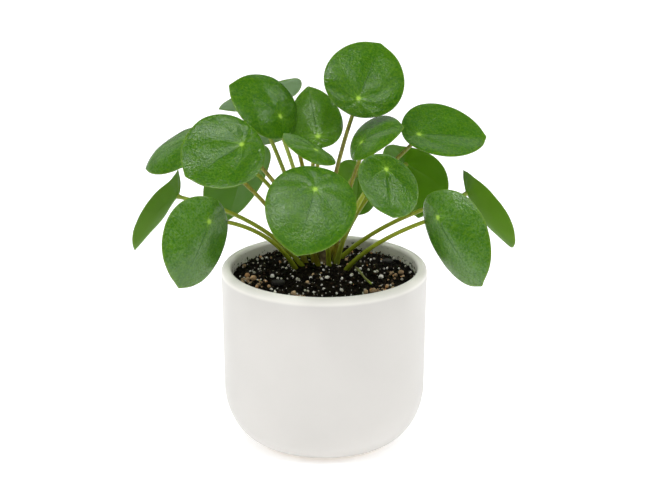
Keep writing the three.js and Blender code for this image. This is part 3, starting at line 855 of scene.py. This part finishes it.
perlite_finish = lump_finish("perlite_skin", (0.50, 0.47, 0.38), (0.72, 0.70, 0.62), (0.86, 0.84, 0.78),
                             roughness=0.85, relief=0.3)
gravel_finish = lump_finish("gravel_skin", (0.30, 0.20, 0.11), (0.50, 0.36, 0.21), (0.62, 0.30, 0.12),
                            roughness=0.7, relief=0.25)
crumb_finish = lump_finish("peat_crumb", (0.002, 0.0014, 0.0008), (0.008, 0.006, 0.0035),
                           (0.045, 0.028, 0.014), roughness=0.8, relief=0.3)
bark_finish = lump_finish("dark_bark", (0.014, 0.013, 0.012), (0.030, 0.028, 0.025), (0.05, 0.043, 0.035),
                          roughness=0.6, relief=0.4)
soil_finishes = (soil_finish, perlite_finish, gravel_finish, crumb_finish, bark_finish)
print("soil finishes:", [finish.name for finish in soil_finishes])

# %% [markdown]
# ## The mass of soil
# The soil fills the pot to a little under the rim and is heaped round the crown. It is one turned body,
# just clear of the pot's wall, whose top is pushed up and down by noise at two sizes: slow swells and
# small clods. Modelling each crumb down to the floor would cost much and show nothing.

# %% The mass of soil
wall_taper = 0.02              # the inside wall widens by this much per millimetre of height
soil_gap, top_gap = 0.3, 0.15  # between the soil and the pot, low down and at the top
clod_width, clod_height = 2.2, 0.8
swell_width, swell_height = 11, 0.9
settled = 0.4                  # the whole top is lowered by this much


def wall_inside(z):
    """The inside radius of the pot at a height above its belly, in millimetres."""
    return side_radius - wall + (z - inner_belly_top) * wall_taper


soil_top_radius = wall_inside(soil_edge_height) - top_gap
soil_profile = (
    [(soil_top_radius * i / 62, soil_edge_height) for i in range(63)]
    + [(wall_inside(80) - soil_gap, 80), (wall_inside(52) - soil_gap, 52)]
    + quarter_arc((floor_radius, inner_belly_top + soil_gap),
                  (side_radius - wall - floor_radius - soil_gap, inner_belly_top - floor_top), 0, -90, 10)
    + [(0, floor_top + soil_gap)]
)
bm = bmesh.new()
turned(bm, soil_profile, steps=180)
for point in bm.verts:
    x, y = point.co.x / mm, point.co.y / mm
    if point.co.z / mm > soil_edge_height - 0.1:
        clods = noise.fractal(Vector((x / clod_width, y / clod_width, 5)), 0.7, 2.0, 3)
        swells = noise.noise(Vector((x / swell_width, y / swell_width, 2)))
        point.co.z = (soil_height(x, y) + clod_height * clods + swell_height * swells - settled) * mm
soil = finished(bm, "soil_mass", [soil_finish], "potting_soil", "potting_soil")
print("soil faces:", len(soil.data.polygons))

# %% [markdown]
# ## Crumbs, perlite and gravel
# Nearly three thousand small lumps lie on the soil. A particle system could strew them, but plain meshes are
# easier to keep and to export. Each kind starts from seven dented balls with few faces, copies of them
# are turned, stretched and sunk a little in the soil, and all of a kind are joined in one mesh. The
# places come from a seeded random choice, so every run strews them alike, and gravel lies in patches.

# %% Scattering lumps
lump_kinds, sink = 7, 0.3      # dented balls of each kind, and how deep a lump lies, as a share of its size
foot_clearance = 1.9           # from the middle of a petiole's foot to any lump, in millimetres


def dented_ball(chance, detail, dents):
    """A ball of a few faces with its points pushed in and out, as a mesh of radius about 1."""
    bm = bmesh.new()
    bmesh.ops.create_icosphere(bm, subdivisions=detail, radius=1)
    for point in bm.verts:
        point.co *= 1 + dents * (chance.random() - 0.5)
    mesh = bpy.data.meshes.new("lump")
    bm.to_mesh(mesh)
    bm.free()
    return mesh


def scattered(name, finish, slot, spots, seed, detail=1, dents=0.5, flat=(0.6, 1.0)):
    """One mesh of lumps; spots holds (x, y, size) in millimetres, and flat is how squashed they are."""
    chance = random.Random(seed)
    balls = [dented_ball(chance, detail, dents) for _ in range(lump_kinds)]
    bm = bmesh.new()
    tones = []
    for x, y, size in spots:
        ball = chance.choice(balls)
        turn = Euler([chance.uniform(0, math.tau) for _ in range(3)]).to_matrix().to_4x4()
        stretch = Matrix.Diagonal((chance.uniform(*flat), chance.uniform(*flat), chance.uniform(*flat), 1))
        centre = Vector((x, y, soil_height(x, y) + size * (0.5 - sink)))
        placed = Matrix.Scale(mm, 4) @ Matrix.Translation(centre) @ turn @ stretch @ Matrix.Scale(size / 2, 4)
        ball.transform(placed)
        bm.from_mesh(ball)
        ball.transform(placed.inverted())
        tones += [chance.random()] * len(ball.vertices)
    tone = bm.verts.layers.float.new("tone")
    for point, value in zip(bm.verts, tones):
        point[tone] = value
    piece = finished(bm, name, [finish], slot)
    print(name, "lumps:", len(spots), "faces:", len(piece.data.polygons))


petiole_feet = [leaf.root for leaf in leaves]


def free_spot(x, y, size):
    """True where a lump would lie inside the pot and clear of every petiole's foot."""
    inside = math.hypot(x, y) < soil_top_radius - size / 2
    return inside and all(math.hypot(x - a, y - b) > foot_clearance + size / 2 for a, b in petiole_feet)


def anywhere(chance):
    """A random place on the soil."""
    away = soil_top_radius * math.sqrt(chance.random())
    turn = chance.uniform(0, math.tau)
    return away * math.cos(turn), away * math.sin(turn)


def some_spots(seed, count, smallest, largest, patches=(), spread=6, loose=1.0):
    """Places for count lumps: a share of them loose all over the soil, the rest in patches."""
    chance = random.Random(seed)
    spots = []
    while len(spots) < count:
        x, y = anywhere(chance)
        if patches and chance.random() > loose:
            patch = chance.choice(patches)
            x, y = chance.gauss(patch[0], spread), chance.gauss(patch[1], spread)
        size = smallest + (largest - smallest) * chance.random() ** 2
        if free_spot(x, y, size):
            spots.append((x, y, size))
    return spots


gravel_patches = [(-47, -7), (-45, -12), (-40, -16), (27, -34), (32, -30), (36, -28), (40, -22), (45, 2),
                  (48, 5), (-16, -38), (14, 24)]
crumb_spots = some_spots(seed=11, count=2300, smallest=0.7, largest=2.6)
perlite_spots = some_spots(seed=12, count=340, smallest=0.7, largest=2.7)
gravel_spots = some_spots(seed=13, count=105, smallest=1.4, largest=3.4, patches=gravel_patches,
                          spread=3.0, loose=0.3)
scattered("peat_crumbs", crumb_finish, "potting_soil", crumb_spots, seed=1, dents=0.8)
scattered("perlite_grains", perlite_finish, "perlite", perlite_spots, seed=2, dents=0.4, flat=(0.7, 1))
scattered("gravel_grains", gravel_finish, "gravel_stone", gravel_spots, seed=3, detail=2, dents=0.22,
          flat=(0.7, 1))

# %% [markdown]
# ## The largest stones and perlite lumps
# These are solids of their own, so each is rebuilt in its solid's place: a fine ball is dented by noise
# and then stretched by the size of the solid's box. Sculpting would give finer stones, but at a few
# millimetres across nobody would see it.

# %% Stones and perlite lumps
broad_dents, fine_dents = 2.6, 7       # how closely the dents follow one another over the ball


def lump_in_box(name, node, finish, slot, seed, dents):
    """A dented ball, stretched by the size of the node's box and set in the middle of it."""
    low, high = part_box(node)
    bm = bmesh.new()
    bmesh.ops.create_icosphere(bm, subdivisions=3, radius=0.5)
    tone = bm.verts.layers.float.new("tone")
    for point in bm.verts:
        broad = noise.noise(point.co * broad_dents + Vector((seed, 0, 0)))
        fine = noise.noise(point.co * fine_dents + Vector((0, seed, 0)))
        point.co *= 1 + dents * (broad + 0.5 * fine)
        point[tone] = (seed * 0.37) % 1
    size = high - low
    bmesh.ops.scale(bm, vec=size, verts=bm.verts)
    bmesh.ops.translate(bm, vec=(low + high) / 2, verts=bm.verts)
    finished(bm, name, [finish], slot, node)


for i in range(1, 7):
    lump_in_box(f"gravel_{i}", f"stone_{i}", gravel_finish, "gravel_stone", seed=2.3 * i, dents=0.30)
for i in range(1, 4):
    lump_in_box(f"perlite_lump_{i}", f"perlite_{i}", perlite_finish, "perlite", seed=5.1 * i, dents=0.45)
print("six stones and three perlite lumps")

# %% [markdown]
# ## The bark chips
# Two flat dark chips of bark lie on the soil. Each is a cube cut into a fine grid, trimmed to a ragged
# round, waved and smoothed, then squashed by the size of its solid's box. A torn sheet with a thickness
# would do as well, but the cube is closed from the start.

# %% Bark chips
chip_reach, raggedness, waviness = 0.46, 0.07, 0.18    # as shares of the chip's box


def bark_chip(name, node, seed):
    """A flat slab with broken edges, set in the middle of the node's box."""
    low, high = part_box(node)
    bm = bmesh.new()
    bmesh.ops.create_cube(bm, size=1)
    bmesh.ops.subdivide_edges(bm, edges=bm.edges, cuts=5, use_grid_fill=True)
    tone = bm.verts.layers.float.new("tone")
    for point in bm.verts:
        x, y = point.co.x, point.co.y
        away = math.hypot(x, y)
        angle = math.atan2(y, x)
        torn = noise.noise(Vector((math.cos(angle) * 2, math.sin(angle) * 2, seed)))
        limit = chip_reach + raggedness * torn
        if away > limit:
            point.co.x, point.co.y = x * limit / away, y * limit / away
        point.co.z += waviness * noise.noise(Vector((x * 3, y * 3, seed)))
        point[tone] = 0.3 + 0.5 * noise.noise(Vector((x * 9, y * 2, seed)))
    bmesh.ops.smooth_vert(bm, verts=bm.verts, factor=0.3, use_axis_x=True, use_axis_y=True, use_axis_z=True)
    bmesh.ops.scale(bm, vec=high - low, verts=bm.verts)
    bmesh.ops.translate(bm, vec=(low + high) / 2, verts=bm.verts)
    finished(bm, name, [bark_finish], "bark_chip", node)


bark_chip("bark_piece_1", "bark_chip_1", seed=1.5)
bark_chip("bark_piece_2", "bark_chip_2", seed=8.5)
print("two bark chips")

# %% [markdown]
# ## The old petiole
# A fallen petiole dries to a thin, dull, uneven stalk. The same ring of points as for a fresh one is
# carried along a short bent route on the soil, with a girth that swells and shrinks.

# %% The old petiole
dry_finish = petiole_finish("dry_petiole", (0.20, 0.22, 0.06), (0.08, 0.075, 0.03), freckles=0.5)
lying_height = 1.2             # from the soil to the middle of the stalk, in millimetres
old_route = [Vector((x, y, soil_height(x, y) + lying_height)) for x, y in
             ((19.5, 10), (21.6, 5.5), (23, 1), (24.6, -4), (26, -9), (28.2, -13.6), (30, -18))]
bm = stalk(old_route, lambda share: 0.9 + 0.12 * math.sin(9 * share) - 0.2 * share, sides=8)
dried_stalk = finished(bm, "dried_stalk", [dry_finish], "old_petiole", "old_petiole", rounding=1)
print("faces in the old petiole:", len(dried_stalk.data.polygons))

# %% [markdown]
# ## The crown
# A pilea's petioles spring from one short woody stem, ringed with the scars of older ones. It is nearly
# hidden here, so a turned profile with two grooves, roughened by noise, is enough.

# %% The crown
crown_finish, tree, shader = finish_named("crown_bark_skin")
where = place_of(tree)
scars = noise_node(tree, where, 260, 3, 0.6)
tree.links.new(ramp_node(tree, scars, (0.35, (0.06, 0.04, 0.018)), (0.6, (0.15, 0.12, 0.05)),
                         (0.75, (0.20, 0.19, 0.08))), shader.inputs["Base Color"])
shader.inputs["Roughness"].default_value = 0.8
tree.links.new(bump_node(tree, scars, 0.8 * mm, 0.9), shader.inputs["Normal"])

low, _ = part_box("crown_stem")
bm = bmesh.new()
crown_profile = [(0, low.z / mm), (3.4, low.z / mm), (3.5, 110), (3.3, 112), (3.6, 113), (3.3, 114.5),
                 (3.6, 116), (3.1, 118), (2.6, 119.2), (1.6, 120.3), (0, 120.8)]
turned(bm, crown_profile, steps=24)
scar_width, scar_depth = 2.5, 0.10
for point in bm.verts:
    bump = 1 + scar_depth * noise.noise(point.co / (scar_width * mm))
    point.co.x, point.co.y = point.co.x * bump, point.co.y * bump
bmesh.ops.translate(bm, vec=(crown_place[0] * mm, crown_place[1] * mm, 0), verts=bm.verts)
crown = finished(bm, "crown", [crown_finish], "crown_bark", "crown_stem", rounding=1)
print("faces in the crown:", len(crown.data.polygons))

# %% [markdown]
# ## The floor
# A wide pale sheet under the pot. It isn't part of the plant, so it doesn't ride on it. It glows a
# little, as paper does under studio lights, so that only the softest shadow is left at the pot's foot.

# %% Floor
def stage_thing(bm, name, finish, height):
    """An object that isn't part of the plant, at a height in metres."""
    mesh = bpy.data.meshes.new(name)
    bm.to_mesh(mesh)
    bm.free()
    mesh.materials.append(finish)
    thing = bpy.data.objects.new(name, mesh)
    thing.location.z = height
    bpy.context.collection.objects.link(thing)
    return thing


floor_finish, tree, shader = finish_named("pale_floor")
where = place_of(tree)
tree.links.new(ramp_node(tree, noise_node(tree, where, 3, 2), (0.3, 0.86), (0.7, 0.90)),
               shader.inputs["Base Color"])
shader.inputs["Roughness"].default_value = 0.7
shader.inputs["Specular IOR Level"].default_value = 0.2
shader.inputs["Emission Color"].default_value = (1, 1, 1, 1)
shader.inputs["Emission Strength"].default_value = 0.42
floor_half_width = 4
bm = bmesh.new()
bmesh.ops.create_grid(bm, x_segments=8, y_segments=8, size=floor_half_width)
floor = stage_thing(bm, "floor", floor_finish, -0.0003)
print("floor:", 2 * floor_half_width, "metres wide")

# %% [markdown]
# ## The backdrop
# A plain white wall stands round the floor, so that a low view ends in white as a view from above does.
# It is an open tube that glows and that only the camera sees: it lights nothing and mirrors in nothing.

# %% Backdrop
white_finish, tree, shader = finish_named("white_backdrop")
shader.inputs["Base Color"].default_value = (0, 0, 0, 1)
shader.inputs["Specular IOR Level"].default_value = 0
shader.inputs["Emission Color"].default_value = (1, 1, 1, 1)
shader.inputs["Emission Strength"].default_value = 1.0
backdrop_radius, backdrop_height = 3.9, 6.0
below_floor = 0.1
bm = bmesh.new()
bmesh.ops.create_cone(bm, cap_ends=False, segments=64, radius1=backdrop_radius, radius2=backdrop_radius,
                      depth=backdrop_height)
backdrop = stage_thing(bm, "backdrop", white_finish, backdrop_height / 2 - below_floor)
backdrop.visible_diffuse = backdrop.visible_glossy = backdrop.visible_transmission = False
backdrop.visible_shadow = False
print("backdrop:", backdrop_height, "metres high")
